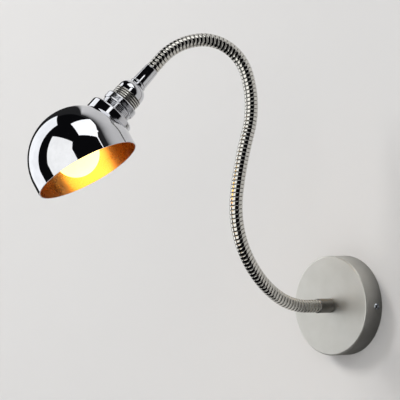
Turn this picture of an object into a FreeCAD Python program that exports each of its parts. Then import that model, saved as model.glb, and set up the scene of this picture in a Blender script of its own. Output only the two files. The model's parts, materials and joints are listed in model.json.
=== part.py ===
import FreeCAD, Part
import math
import os
import re

import Sketcher
from FreeCAD import Placement, Rotation, Vector

# Gooseneck wall sconce, in millimetres. +Z is up, the wall is the plane Y = 0 and the
# light reaches out along -Y. The origin is the middle of the canopy's wall face.

os.makedirs("parts", exist_ok=True)
doc = FreeCAD.newDocument("GooseneckSconce")
lamp = doc.addObject("Spreadsheet::Sheet", "Lamp")

sizes = [
    # canopy: a drawn steel cup, held by a screw at each side near the wall
    ("canopyRadius", 50.0), ("canopyDepth", 23.0), ("canopyWall", 1.0), ("canopyEdge", 2.0),
    ("sideScrewPlace", 8.0), ("sideScrewShank", 1.9), ("sideScrewLength", 8.0),
    ("sideScrewHead", 3.3), ("sideScrewHeadHeight", 2.2), ("screwPlay", 0.3),
    # wall bracket: a flat bar with two bent ears, a tongue and two slots
    ("barThick", 1.5), ("barWidth", 15.0), ("earRise", 14.0), ("earPlay", 0.6),
    ("slotSpacing", 60.0), ("slotWidth", 5.0), ("slotLength", 13.0),
    ("tongueWidth", 16.0), ("tongueHeight", 32.0),
    # two-pole terminal block on the tongue
    ("blockWidth", 22.0), ("blockHeight", 16.0), ("blockDepth", 11.0), ("blockFoot", 14.0),
    ("polePitch", 12.0), ("poleBore", 1.7), ("clampBore", 1.8), ("clampShank", 1.4),
    ("clampInset", 4.0), ("clampSink", 2.5),
    ("fixingShank", 1.4), ("fixingHead", 2.6), ("fixingHeadHeight", 1.6), ("fixingLength", 12.0),
    # earth post on the bar
    ("earthPlace", 15.0), ("earthShank", 1.9), ("earthHead", 3.4), ("earthHeadHeight", 2.4),
    ("earthLength", 2.2), ("lugRadius", 4.2), ("lugThick", 0.8), ("lugTail", 9.0),
    ("lugTailWidth", 3.0),
    # threaded nipple, nut and washer behind the canopy, and the bush that lines it
    ("nippleRadius", 5.0), ("nippleBore", 3.8), ("nippleInside", 8.0), ("nippleGrip", 8.0),
    ("nutAcross", 14.0), ("nutThick", 3.5), ("washerRadius", 8.0), ("washerThick", 0.8),
    ("bushFlange", 5.0), ("bushFlangeThick", 1.2), ("bushLength", 6.0), ("bushBore", 3.0),
    ("fitPlay", 0.05),
    # ferrules at the two ends of the arm
    ("lowerFerruleRadius", 7.25), ("lowerFerruleLength", 19.0), ("ferruleRound", 1.2),
    ("ferruleSocket", 6.0), ("upperFerruleRadius", 7.6), ("upperFerruleLength", 20.0),
    ("upperFerruleBarrel", 9.0), ("upperFerruleTip", 6.9),
    # gooseneck arm: a wound steel tube over a flex, in equal stretches
    ("armRadius", 6.5), ("armGroove", 5.5), ("armBore", 3.9), ("ribPitch", 4.0),
    ("ribCount", 15), ("crestShare", 0.56), ("rootShare", 0.1), ("flexRadius", 2.6),
    # heading at the end of each stretch: rise over the horizontal and turn to the side
    ("riseA", 30.0), ("riseB", 60.0), ("riseC", 99.0), ("riseD", 110.0), ("riseE", 78.0),
    ("riseF", -4.0), ("riseG", -50.0), ("turnA", 0.0), ("turnB", 0.0), ("turnC", 0.0),
    ("turnD", 0.0), ("turnE", 12.0), ("turnF", 24.0), ("turnG", 16.0),
    # conductors
    ("wireRadius", 0.75), ("wireSpread", 1.6), ("wireBend", 2.5), ("wireGrip", 4.0),
    # lampholder: lock collar, cap, threaded skirt and porcelain insert on one axis; the
    # screw shell is deeper than the lamp's cap, and the cavity deeper than the shell
    ("lockRadius", 8.2), ("lockThick", 3.3), ("lockEdge", 0.8),
    ("capRadius", 13.8), ("capHeight", 11.8), ("capStraight", 3.0), ("capTop", 8.4),
    ("capWall", 1.6), ("capSpigot", 4.5),
    ("skirtRadius", 14.2), ("skirtShown", 9.1), ("skirtInside", 20.0), ("skirtWall", 1.8),
    ("insertRadius", 12.2), ("insertInset", 1.5), ("insertCavity", 3.0), ("insertPort", 1.2),
    ("insertPortPlace", 6.5),
    ("shellRadius", 7.4), ("shellWall", 0.35), ("shellDepth", 2.0), ("shellMouth", 4.5),
    ("contactRadius", 3.0), ("contactHeight", 3.0),
    # the two rings that clamp the shade's neck, with play for it to turn
    ("ringRadius", 16.9), ("ringHeight", 7.6), ("hubRadius", 15.6), ("hubHeight", 7.0),
    ("ringEdge", 0.9), ("innerRingRadius", 19.5), ("innerRingHeight", 5.0),
    ("clampPlay", 0.1),
    # shade: a half ball with a short skirt and a drum neck that reaches past the ball
    ("shadeRadius", 52.0), ("shadeWall", 1.0), ("shadeSkirt", 12.0),
    ("neckRadius", 23.2), ("neckReach", 2.5), ("neckRoot", 20.0), ("neckOffset", 8.0),
    ("neckAngle", 68.0), ("shadeTurn", -22.0), ("neckEdge", 1.8),
    ("neckPlay", 0.3),
    # lamp: a small frosted globe with a screw cap of 14 mm, its middle below the cap's foot
    ("globeRadius", 22.5), ("globeCentre", 34.8), ("globeThroat", 8.0), ("globeWall", 0.8),
    ("lampCapRadius", 6.7), ("lampCapLength", 18.0), ("lampCapWall", 0.3),
    ("lampCapShoulder", 1.5), ("lampSeal", 5.2), ("lampSealHeight", 1.5), ("lampTip", 2.2),
    ("lampTipHeight", 1.2),
    ("stemRadius", 3.0), ("stemLength", 30.0),
]
for row, (alias, size) in enumerate(sizes, start=1):
    lamp.set(f"A{row}", alias)
    lamp.set(f"B{row}", str(size))
    lamp.setAlias(f"B{row}", alias)
doc.recompute()

# Names for lengths that several pieces share.
poleDepth = "barThick + blockDepth / 2"
nippleEnd = "canopyDepth - canopyWall - nippleInside"
flexStart = nippleEnd + " - bushFlangeThick"
ringBase = "hubHeight + ringHeight"
skirtTop = ringBase + " + skirtShown"
capEnd = skirtTop + " + capHeight"
lockEnd = capEnd + " + lockThick"
ferruleEnd = lockEnd + " + upperFerruleLength"
insertFoot = "insertInset - skirtInside"
insertHead = skirtTop + " - capSpigot"
shellSpan = "(lampCapLength + shellDepth)"
cavityDepth = f"{shellSpan} + insertCavity"
lampTop = f"{insertFoot} + {cavityDepth} - contactHeight"
flexEnd = capEnd + " - capWall - 3 * wireRadius"
earReach = "sqrt((canopyRadius - canopyWall - earPlay)^2 - (barWidth / 2)^2)"

parts = []


# ---------------------------------------------------------------- helpers
def get(rule):
    """Number that a rule on the sheet's names gives."""
    return float(lamp.evalExpression(rule))


def tied(rule):
    """The same rule as an expression that another object can hold."""
    return re.sub(r"\b([a-z]\w*)\b(?!\()", r"Lamp.\1", rule)


def bind(item, **rules):
    """Tie properties of an object to rules on the sheet."""
    for prop, rule in rules.items():
        item.setExpression(prop, tied(rule))
    return item


def keep(item, name, place=Placement()):
    """Name a finished sub-part, put it in its place and list it."""
    item.Label = name
    item.Placement = place
    parts.append(item)
    return item


def pin(sketch, vertex, across, along):
    """Fix a sketch point at two rules measured from the sketch's origin."""
    for kind, rule, axis in (("DistanceX", across, -2), ("DistanceY", along, -1)):
        if rule == "0":
            sketch.addConstraint(Sketcher.Constraint("PointOnObject", *vertex, axis))
        else:
            limit = Sketcher.Constraint(kind, -1, 1, *vertex, get(rule))
            number = sketch.addConstraint(limit)
            sketch.setExpression(f"Constraints[{number}]", tied(rule))


def arc_between(start, end, radius, side):
    """Arc of under a half circle from start to end, its middle on the given side."""
    chord = end - start
    rise = math.sqrt(max(radius * radius - chord.Length ** 2 / 4, 0))
    across = Vector(-chord.y, chord.x, 0).normalize()
    centre = (start + end) / 2 + across * rise * side
    first, last = (start, end) if side > 0 else (end, start)
    turn = [math.atan2(p.y - centre.y, p.x - centre.x) for p in (first, last)]
    return Part.ArcOfCircle(Part.Circle(centre, Vector(0, 0, 1), radius), *turn)


def draw_outline(sketch, outline):
    """Closed outline of points (across, along) or (across, along, radius, side): the last
    two make the edge that ends at the point an arc."""
    points = [Vector(get(p[0]), get(p[1]), 0) for p in outline]
    ends = []
    for index, point in enumerate(outline):
        start, end = points[index - 1], points[index]
        if len(point) == 4:
            geometry = arc_between(start, end, get(point[2]), point[3])
            number = sketch.addGeometry(geometry)
            limit = Sketcher.Constraint("Radius", number, get(point[2]))
            sketch.setExpression(f"Constraints[{sketch.addConstraint(limit)}]", tied(point[2]))
            ends.append(((number, 1), (number, 2)) if point[3] > 0 else ((number, 2), (number, 1)))
        else:
            number = sketch.addGeometry(Part.LineSegment(start, end))
            ends.append(((number, 1), (number, 2)))
    for index, point in enumerate(outline):
        meeting, leaving = ends[index][1], ends[(index + 1) % len(ends)][0]
        sketch.addConstraint(Sketcher.Constraint("Coincident", *meeting, *leaving))
        pin(sketch, leaving, point[0], point[1])


def draw_circle(sketch, across, along, radius):
    centre = Vector(get(across), get(along), 0)
    number = sketch.addGeometry(Part.Circle(centre, Vector(0, 0, 1), get(radius)))
    limit = Sketcher.Constraint("Radius", number, get(radius))
    sketch.setExpression(f"Constraints[{sketch.addConstraint(limit)}]", tied(radius))
    pin(sketch, (number, 3), across, along)


def new_sketch(body, role, lift="0"):
    """Sketch on one of the body's own planes, lifted off it by a rule."""
    sketch = body.newObject("Sketcher::SketchObject", body.Name + "_sketch")
    plane = next(f for f in body.Origin.OriginFeatures if f.Role == role)
    sketch.AttachmentSupport = (plane, [""])
    sketch.MapMode = "FlatFace"
    if lift != "0":
        sketch.setExpression("AttachmentOffset.Base.z", tied(lift))
    return sketch


def new_body(name):
    return doc.addObject("PartDesign::Body", name)


def turn(name, outline):
    """Body turned about its own Z from an outline of (radius, height)."""
    body = new_body(name)
    sketch = new_sketch(body, "XZ_Plane")
    draw_outline(sketch, outline)
    turned = body.newObject("PartDesign::Revolution", name + "_turned")
    turned.Profile = sketch
    turned.ReferenceAxis = (sketch, ["V_Axis"])
    turned.Angle = 360
    return body


def pad(body, sketch, length):
    plate = body.newObject("PartDesign::Pad", body.Name + "_pad")
    plate.Profile = sketch
    return bind(plate, Length=length)


def bore(body, role, circles, lift="0", depth=None):
    """Round holes through the whole body, or down from a lifted sketch by a depth."""
    sketch = new_sketch(body, role, lift)
    for circle in circles:
        draw_circle(sketch, *circle)
    doc.recompute()
    before = body.Shape.Volume
    pocket = body.newObject("PartDesign::Pocket", body.Name + "_bore")
    pocket.Profile = sketch
    if depth is None:
        pocket.Type = "ThroughAll"
        pocket.Midplane = True
    else:
        bind(pocket, Length=depth)
    doc.recompute()
    if body.Shape.Volume >= before:
        raise ValueError(f"the bore in {body.Name} cuts nothing")
    return pocket


def rectangle(left, right, low, high):
    return [(left, low), (right, low), (right, high), (left, high)]


def tube(outer, inner, height):
    """Outline of a plain ring."""
    return rectangle(inner, outer, "0", height)


def pan_screw(name, shank, length, head, height):
    """Pan-head screw that points up its own Z, its head below the origin."""
    crown = f"({head}^2 + {height}^2) / (2 * {height})"
    return turn(name, [("0", f"-{height}"), (head, "0", crown, 1), (shank, "0"),
                       (shank, length), ("0", length)])


def fused(name, items):
    result = doc.addObject("Part::MultiFuse", name)
    result.Shapes = items
    result.Refine = True
    return result


def cut(name, base, tool):
    result = doc.addObject("Part::Cut", name)
    result.Base = base
    result.Tool = tool
    result.Refine = True
    return result


def shaped(name, shape):
    """Feature that holds a shape made by Part's own functions."""
    feature = doc.addObject("Part::Feature", name)
    feature.Shape = shape
    return feature


def off_wall(out="0", across="0", up="0"):
    """Place whose own Z points away from the wall and whose own Y points up."""
    return Placement(Vector(get(across), -get(out), get(up)), Rotation(Vector(1, 0, 0), 90))


# ---------------------------------------------------------------- wall bracket and wiring
def wall_bracket():
    body = new_body("wall_bracket")
    half, tongue = "barWidth / 2", "tongueWidth / 2"
    flat = new_sketch(body, "XY_Plane")
    draw_outline(flat, [
        (f"-{earReach}", f"-{half}"), (earReach, f"-{half}"), (earReach, half),
        (tongue, half), (tongue, "tongueHeight"), (f"-{tongue}", "tongueHeight"),
        (f"-{tongue}", half), (f"-{earReach}", half),
    ])
    for sign in ("-", ""):
        low = f"{sign}slotSpacing / 2 - slotLength / 2 + slotWidth / 2"
        high = f"{sign}slotSpacing / 2 + slotLength / 2 - slotWidth / 2"
        middle = "slotWidth / 2"
        draw_outline(flat, [
            (high, f"-{middle}"), (f"{high} + {middle}", "0", middle, 1),
            (high, middle, middle, 1), (low, middle),
            (f"{low} - {middle}", "0", middle, 1), (low, f"-{middle}", middle, 1),
        ])
    pad(body, flat, "barThick")
    ears = new_sketch(body, "XY_Plane")
    draw_outline(ears, rectangle(f"{earReach} - barThick", earReach, f"-{half}", half))
    draw_outline(ears, rectangle(f"-{earReach}", f"barThick - {earReach}", f"-{half}", half))
    pad(body, ears, "earRise")
    bore(body, "YZ_Plane", [("0", "sideScrewPlace", "sideScrewShank + fitPlay")])
    bore(body, "XY_Plane", [("-earthPlace", "-wireSpread", "earthShank + fitPlay"),
                            ("0", "blockFoot + blockHeight / 2", "fixingShank + fitPlay")])
    keep(body, "wall_bracket", off_wall())


def side_screws():
    """Two pan-head screws through the canopy's rim into the bracket's ears."""
    reach = get("canopyRadius + fitPlay")
    pair = []
    for side in (1, -1):
        screw = pan_screw(f"side_screw_{side + 2}", "sideScrewShank", "sideScrewLength",
                          "sideScrewHead", "sideScrewHeadHeight")
        screw.Placement = Placement(Vector(side * reach, -get("sideScrewPlace"), 0),
                                    Rotation(Vector(0, 1, 0), -90 * side))
        pair.append(screw)
    group = doc.addObject("Part::Compound", "side_screws")
    group.Links = pair
    keep(group, "side_screws")


def terminal_block():
    """Moulded block with two brass-lined ways, two clamp screws a way and one fixing."""
    body = new_body("terminal_block")
    face = new_sketch(body, "XY_Plane")
    half = "blockWidth / 2"
    draw_outline(face, rectangle(f"-{half}", half, "0", "blockHeight"))
    pad(body, face, "blockDepth")
    ways = [("-polePitch / 2", "blockDepth / 2"), ("polePitch / 2", "blockDepth / 2")]
    bore(body, "XZ_Plane", [(x, z, "poleBore") for x, z in ways])
    rows = ("clampInset", "blockHeight - clampInset")
    clamps = [(x, row, "clampBore") for x, _ in ways for row in rows]
    bore(body, "XY_Plane", clamps, "blockDepth", "blockDepth / 2")
    bore(body, "XY_Plane", [("0", "blockHeight / 2", "fixingShank + screwPlay")])
    keep(body, "terminal_block", off_wall("barThick", up="blockFoot"))


def clamp_screws():
    """Four short brass screws that press the conductors in the block."""
    screws = []
    length = "blockDepth / 2 - clampSink - wireRadius"
    for side in ("-", ""):
        for row in ("clampInset", "blockHeight - clampInset"):
            screw = turn("clamp_screw", [("0", "0"), ("clampShank", "0"),
                                         ("clampShank", length), ("0", length)])
            foot = "barThick + blockDepth / 2 + wireRadius"
            screw.Placement = off_wall(foot, f"{side}polePitch / 2", f"blockFoot + {row}")
            screws.append(screw)
    group = doc.addObject("Part::Compound", "clamp_screws")
    group.Links = screws
    keep(group, "clamp_screws")


def block_fixing():
    screw = pan_screw("block_screw", "fixingShank", "fixingLength", "fixingHead",
                      "fixingHeadHeight")
    seat = off_wall("barThick + blockDepth", up="blockFoot + blockHeight / 2")
    keep(screw, "block_screw", seat * Placement(Vector(), Rotation(Vector(1, 0, 0), 180)))


def earth_post():
    lug = new_body("earth_lug")
    flat = new_sketch(lug, "XY_Plane")
    half, reach = "lugTailWidth / 2", "sqrt(lugRadius^2 - (lugTailWidth / 2)^2)"
    draw_outline(flat, [
        (reach, half), ("-lugRadius", "0", "lugRadius", 1), (reach, f"-{half}", "lugRadius", 1),
        ("lugTail", f"-{half}"), ("lugTail", half),
    ])
    pad(lug, flat, "lugThick")
    bore(lug, "XY_Plane", [("0", "0", "earthShank + screwPlay")])
    keep(lug, "earth_lug", off_wall("barThick", "-earthPlace", "-wireSpread"))
    screw = pan_screw("earth_screw", "earthShank", "earthLength", "earthHead", "earthHeadHeight")
    seat = off_wall("barThick + lugThick", "-earthPlace", "-wireSpread")
    keep(screw, "earth_screw", seat * Placement(Vector(), Rotation(Vector(1, 0, 0), 180)))


def bent_wire(corners, radius, bend):
    """Round wire along straight runs joined by tangent arcs."""
    edges, start = [], corners[0]
    for index in range(1, len(corners) - 1):
        back = (corners[index - 1] - corners[index]).normalize()
        ahead = (corners[index + 1] - corners[index]).normalize()
        half = back.getAngle(ahead) / 2
        inset = bend / math.tan(half)
        enter, leave = corners[index] + back * inset, corners[index] + ahead * inset
        bisector = (back + ahead).normalize()
        middle = corners[index] + bisector * (bend / math.sin(half) - bend)
        edges.append(Part.LineSegment(start, enter).toShape())
        edges.append(Part.Arc(enter, middle, leave).toShape())
        start = leave
    edges.append(Part.LineSegment(start, corners[-1]).toShape())
    first = corners[1] - corners[0]
    ring = Part.Wire(Part.Circle(corners[0], first, radius).toShape())
    return Part.Wire(edges).makePipeShell([ring], True, False)


def canopy_wires():
    """Three conductors from the flex to the block's two ways and the earth lug."""
    out, deep, spread = get(flexStart), get(poleDepth), get("wireSpread")
    pole, grip = get("polePitch / 2"), get("blockFoot + wireGrip")
    lift = get("blockFoot / 2")
    for name, side in (("live_wire", -1), ("neutral_wire", 1)):
        route = [Vector(side * spread, out, 0), Vector(side * spread, deep, 0),
                 Vector(side * pole, deep, lift), Vector(side * pole, deep, grip)]
        route = [Vector(p.x, -p.y, p.z) for p in route]
        wire = shaped(name, bent_wire(route, get("wireRadius"), get("wireBend")))
        keep(wire, name)
    low = get("barThick + lugThick + wireRadius")
    tail = get("lugTail - earthPlace - wireGrip")
    route = [Vector(0, -out, -spread), Vector(0, -low, -spread), Vector(tail, -low, -spread)]
    wire = shaped("earth_wire", bent_wire(route, get("wireRadius"), get("wireBend")))
    keep(wire, "earth_wire")


# ---------------------------------------------------------------- canopy and arm root
def canopy():
    """Cup with a rounded front edge, a hole for the nipple and one at each side."""
    wall, edge = "canopyWall", "canopyEdge"
    form = turn("canopy", [
        ("nippleRadius + fitPlay", "canopyDepth"),
        ("nippleRadius + fitPlay", f"canopyDepth - {wall}"),
        (f"canopyRadius - {edge}", f"canopyDepth - {wall}"),
        (f"canopyRadius - {wall}", f"canopyDepth - {edge}", f"{edge} - {wall}", -1),
        (f"canopyRadius - {wall}", "0"), ("canopyRadius", "0"),
        ("canopyRadius", f"canopyDepth - {edge}"),
        (f"canopyRadius - {edge}", "canopyDepth", edge, 1),
    ])
    bore(form, "YZ_Plane", [("0", "sideScrewPlace", "sideScrewShank + screwPlay")])
    keep(form, "canopy", off_wall())


def arm_root():
    """Nipple, toothed washer, hexagon nut and bush that hold the arm in the canopy."""
    inside = "canopyDepth - canopyWall"
    length = "nippleInside + canopyWall + nippleGrip"
    keep(turn("arm_nipple", tube("nippleRadius", "nippleBore", length)), "arm_nipple",
         off_wall(nippleEnd))
    keep(turn("lock_washer", tube("washerRadius", "nippleRadius + fitPlay", "washerThick")),
         "lock_washer", off_wall(f"{inside} - washerThick"))
    nut = new_body("nipple_nut")
    flat = new_sketch(nut, "XY_Plane")
    across, corner = "nutAcross / 2", "nutAcross / sqrt(3)"
    draw_outline(flat, [
        (f"{corner}", "0"), (f"{corner} / 2", across), (f"-{corner} / 2", across),
        (f"-{corner}", "0"), (f"-{corner} / 2", f"-{across}"), (f"{corner} / 2", f"-{across}"),
    ])
    pad(nut, flat, "nutThick")
    bore(nut, "XY_Plane", [("0", "0", "nippleRadius + fitPlay")])
    keep(nut, "nipple_nut", off_wall(f"{inside} - washerThick - nutThick"))
    bush = turn("nipple_bush", [
        ("bushBore", "0"), ("bushFlange", "0"), ("bushFlange", "bushFlangeThick"),
        ("nippleBore - fitPlay", "bushFlangeThick"),
        ("nippleBore - fitPlay", "bushFlangeThick + bushLength"),
        ("bushBore", "bushFlangeThick + bushLength"),
    ])
    keep(bush, "nipple_bush", off_wall(flexStart))


def ferrule_outline(radius, tip, barrel, length):
    """Turned ferrule: bored for the nipple below and for the arm's plain end above."""
    edge = "ferruleRound"
    return [
        ("nippleRadius + fitPlay", "0"), (f"{radius} - {edge}", "0"),
        (radius, edge, edge, 1), (radius, barrel), (tip, f"{length} - {edge}"),
        (f"{tip} - {edge} / 2", length), ("armGroove + fitPlay", length),
        ("armGroove + fitPlay", f"{length} - ferruleSocket"),
        ("armBore", f"{length} - ferruleSocket"), ("armBore", "nippleGrip"),
        ("nippleRadius + fitPlay", "nippleGrip"),
    ]


def lower_ferrule():
    form = turn("lower_ferrule", ferrule_outline(
        "lowerFerruleRadius", "lowerFerruleRadius", "lowerFerruleLength / 2",
        "lowerFerruleLength"))
    keep(form, "lower_ferrule", off_wall("canopyDepth"))


# ---------------------------------------------------------------- gooseneck arm
def heading(rise, side):
    """Unit heading that rises from -Y and turns towards -X, in degrees."""
    up, turned = math.radians(rise), math.radians(side)
    return Vector(-math.sin(turned), -math.cos(up) * math.cos(turned),
                  math.sin(up) * math.cos(turned))


def arm_stretches():
    """Stretches of the arm's centre line: each is one arc between two headings, and the
    first and last also run straight for one diameter where they meet a ferrule."""
    length, straight = get("ribPitch * ribCount"), get("2 * armRadius")
    place = Vector(0, -get("canopyDepth + lowerFerruleLength"), 0)
    before = heading(0, 0)
    stretches = []
    letters = "ABCDEFG"
    for index, letter in enumerate(letters):
        after = heading(get(f"rise{letter}"), get(f"turn{letter}"))
        lead = straight if index == 0 else 0
        tail = straight if index == len(letters) - 1 else 0
        angle = before.getAngle(after)
        axis = before.cross(after).normalize()
        radius = (length - lead - tail) / angle
        stretch = {"start": place, "before": before, "after": after, "lead": lead,
                   "tail": tail, "axis": axis, "radius": radius, "length": length,
                   "centre": place + before * lead + axis.cross(before) * radius}
        stretches.append(stretch)
        place = on_stretch(stretch, length)[0]
        before = after
    return stretches


def on_stretch(stretch, distance):
    """Point and heading at a distance along a stretch, past its ends too."""
    bend_end = stretch["length"] - stretch["tail"]
    if distance <= stretch["lead"]:
        return stretch["start"] + stretch["before"] * distance, stretch["before"]
    along = min(distance, bend_end) - stretch["lead"]
    turned = Rotation(stretch["axis"], math.degrees(along / stretch["radius"]))
    spoke = stretch["axis"].cross(stretch["before"]) * -stretch["radius"]
    here = stretch["centre"] + turned.multVec(spoke)
    ahead = turned.multVec(stretch["before"])
    return here + ahead * max(distance - bend_end, 0), ahead


def stretch_path(stretch, before=0, after=0):
    """Centre line of a stretch as lines and one arc, drawn out at either end."""
    lead, bend_end = stretch["lead"], stretch["length"] - stretch["tail"]
    middle = (lead + bend_end) / 2
    ends = [on_stretch(stretch, d)[0] for d in (lead, middle, bend_end)]
    edges = [Part.Arc(*ends).toShape()]
    if lead + before > 0:
        first = on_stretch(stretch, -before)[0]
        edges.insert(0, Part.LineSegment(first, ends[0]).toShape())
    if stretch["tail"] + after > 0:
        last = on_stretch(stretch, stretch["length"] + after)[0]
        edges.append(Part.LineSegment(ends[2], last).toShape())
    return Part.Wire(edges)


def ring_on(stretch, distance, radius):
    """Circle round a stretch, its X axis steady along the whole stretch."""
    here, ahead = on_stretch(stretch, distance)
    circle = Part.Circle(here, ahead, radius)
    circle.XAxis = stretch["axis"]
    return Part.Wire(circle.toShape())


def pipe_on(stretch, radius, before=0, after=0):
    path = stretch_path(stretch, before, after)
    return path.makePipeShell([ring_on(stretch, -before, radius)], True, False)


def ribbed_tube(stretch, before, after):
    """Wound tube: four rings a rib, ruled from ring to ring, bored for the flex."""
    crest, root, pitch = get("armRadius"), get("armGroove"), get("ribPitch")
    flat, valley = get("crestShare") / 2, get("rootShare") / 2
    rings = [ring_on(stretch, -before, root)]
    for rib in range(int(get("ribCount"))):
        for share, radius in ((valley, root), (0.5 - flat, crest), (0.5 + flat, crest),
                              (1 - valley, root)):
            rings.append(ring_on(stretch, (rib + share) * pitch, radius))
    rings.append(ring_on(stretch, stretch["length"] + after, root))
    return Part.makeLoft(rings, True, True).cut(pipe_on(stretch, get("armBore"), before, after))


def gooseneck(stretches):
    """Seven stretches of tube and of flex, so that each can turn on the one before."""
    last = len(stretches)
    socket = get("ferruleSocket")
    flex_lead = get("lowerFerruleLength + canopyWall + nippleInside + bushFlangeThick")
    flex_tail = get(f"{ferruleEnd} - ({flexEnd})")
    for number, stretch in enumerate(stretches, start=1):
        tube_ends = (socket if number == 1 else 0, socket if number == last else 0)
        flex_ends = (flex_lead if number == 1 else 0, flex_tail if number == last else 0)
        keep(shaped(f"gooseneck_{number}", ribbed_tube(stretch, *tube_ends)),
             f"gooseneck_{number}")
        keep(shaped(f"flex_{number}", pipe_on(stretch, get("flexRadius"), *flex_ends)),
             f"flex_{number}")
        print(f"stretch {number}: bend radius {stretch['radius']:.1f} mm")


# ---------------------------------------------------------------- lampholder
def holder_place(stretches):
    """Middle of the shade's neck rim: own Z runs up the holder to the arm, and own X
    points to the side that the shade opens on."""
    end, ahead = on_stretch(stretches[-1], stretches[-1]["length"])
    rim = end + ahead * get(ferruleEnd)
    up = ahead * -1
    side = Vector(0, 0, -1) + up * up.z
    return Placement(rim, Rotation(side.normalize(), up.cross(side.normalize()), up, "ZXY"))


def on_holder(holder, height, flip=False):
    """Place at a height on the holder's axis, upside down where flipped."""
    turned = Rotation(Vector(1, 0, 0), 180 if flip else 0)
    return holder * Placement(Vector(0, 0, get(height)), turned)


def lampholder(holder):
    keep(turn("upper_ferrule", ferrule_outline(
        "upperFerruleRadius", "upperFerruleTip", "upperFerruleBarrel", "upperFerruleLength")),
        "upper_ferrule", on_holder(holder, lockEnd))
    edge = "lockEdge"
    keep(turn("lock_collar", [
        ("nippleRadius + fitPlay", "0"), (f"lockRadius - {edge}", "0"), ("lockRadius", edge),
        ("lockRadius", f"lockThick - {edge}"), (f"lockRadius - {edge}", "lockThick"),
        ("nippleRadius + fitPlay", "lockThick"),
    ]), "lock_collar", on_holder(holder, capEnd))
    keep(turn("holder_nipple", tube("nippleRadius", "nippleBore",
                                    "capWall + lockThick + nippleGrip")),
         "holder_nipple", on_holder(holder, f"{capEnd} - capWall"))
    rise, run = "(capHeight - capStraight)", "(capRadius - capTop)"
    swell = f"({rise}^2 + {run}^2) / (2 * {run})"
    keep(turn("holder_cap", [
        ("insertRadius - capWall", "0"), ("insertRadius", "0"), ("insertRadius", "capSpigot"),
        ("capRadius", "capSpigot"), ("capRadius", "capSpigot + capStraight"),
        ("capTop", "capSpigot + capHeight", swell, 1),
        ("nippleRadius + fitPlay", "capSpigot + capHeight"),
        ("nippleRadius + fitPlay", "capSpigot + capHeight - capWall"),
        ("capTop - capWall", "capSpigot + capHeight - capWall"),
        ("insertRadius - capWall", "capSpigot + capStraight"),
    ]), "holder_cap", on_holder(holder, insertHead))
    keep(turn("holder_skirt", tube("skirtRadius", "skirtRadius - skirtWall",
                                   f"skirtInside + {skirtTop}")),
         "holder_skirt", on_holder(holder, "-skirtInside"))
    insert = turn("holder_insert", [
        ("shellRadius + fitPlay", "0"), ("insertRadius", "0"),
        ("insertRadius", f"{insertHead} - ({insertFoot})"),
        ("0", f"{insertHead} - ({insertFoot})"), ("0", cavityDepth),
        ("shellRadius + fitPlay", cavityDepth),
    ])
    ports = [(f"{sign}insertPortPlace", "0", "insertPort") for sign in ("-", "")]
    bore(insert, "XY_Plane", ports, f"{insertHead} - ({insertFoot})", "wireGrip + insertPort")
    keep(insert, "holder_insert", on_holder(holder, insertFoot))
    keep(turn("screw_shell", [
        ("shellRadius - shellWall", "0"), ("shellRadius", "0"), ("shellRadius", shellSpan),
        ("shellMouth", shellSpan), ("shellMouth", f"{shellSpan} - shellWall"),
        ("shellRadius - shellWall", f"{shellSpan} - shellWall"),
    ]), "screw_shell", on_holder(holder, insertFoot))
    keep(turn("centre_contact", [("0", "0"), ("contactRadius", "0"),
                                 ("contactRadius", "contactHeight"), ("0", "contactHeight")]),
         "centre_contact", on_holder(holder, lampTop))


def holder_wires(holder):
    """Two conductors from the flex down into the ports of the insert."""
    top, spread, port = get(flexEnd), get("wireSpread"), get("insertPortPlace")
    low = get(insertHead)
    bend = get("wireBend")
    for name, side in (("holder_live_wire", -1), ("holder_neutral_wire", 1)):
        route = [Vector(side * spread, 0, top), Vector(side * spread, 0, top - bend),
                 Vector(side * port, 0, low + bend), Vector(side * port, 0, low - get("wireGrip"))]
        wire = shaped(name, bent_wire(route, get("wireRadius"), bend))
        keep(wire, name, holder)


def clamp_rings(holder):
    """Outer ring with its hub on the shade's neck, and the ring under the neck's top."""
    edge, hole = "ringEdge", "skirtRadius + fitPlay"
    top = "hubHeight + ringHeight"
    keep(turn("outer_ring", [
        (hole, "0"), ("hubRadius", "0"), ("hubRadius", "hubHeight"),
        (f"ringRadius - {edge}", "hubHeight"), ("ringRadius", f"hubHeight + {edge}", edge, 1),
        ("ringRadius", f"{top} - {edge}"), (f"ringRadius - {edge}", top, edge, 1), (hole, top),
    ]), "outer_ring", on_holder(holder, "0"))
    keep(turn("inner_ring", tube("innerRingRadius", hole, "innerRingHeight")), "inner_ring",
         on_holder(holder, "-shadeWall - 2 * clampPlay - innerRingHeight"))


# ---------------------------------------------------------------- shade
def dome_form(name, radius, foot):
    """Half ball on a short drum, its middle at the origin."""
    return turn(name, [("0", f"-{foot}"), (radius, f"-{foot}"), (radius, "0"),
                       ("0", radius, radius, 1)])


def neck_form(name, radius, top, edge):
    """Drum with a rounded top edge, from its root to its top."""
    return turn(name, [("0", "0"), (radius, "0"), (radius, f"{top} - {edge}"),
                       (f"{radius} - {edge}", top, edge, 1), ("0", top)])


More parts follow.
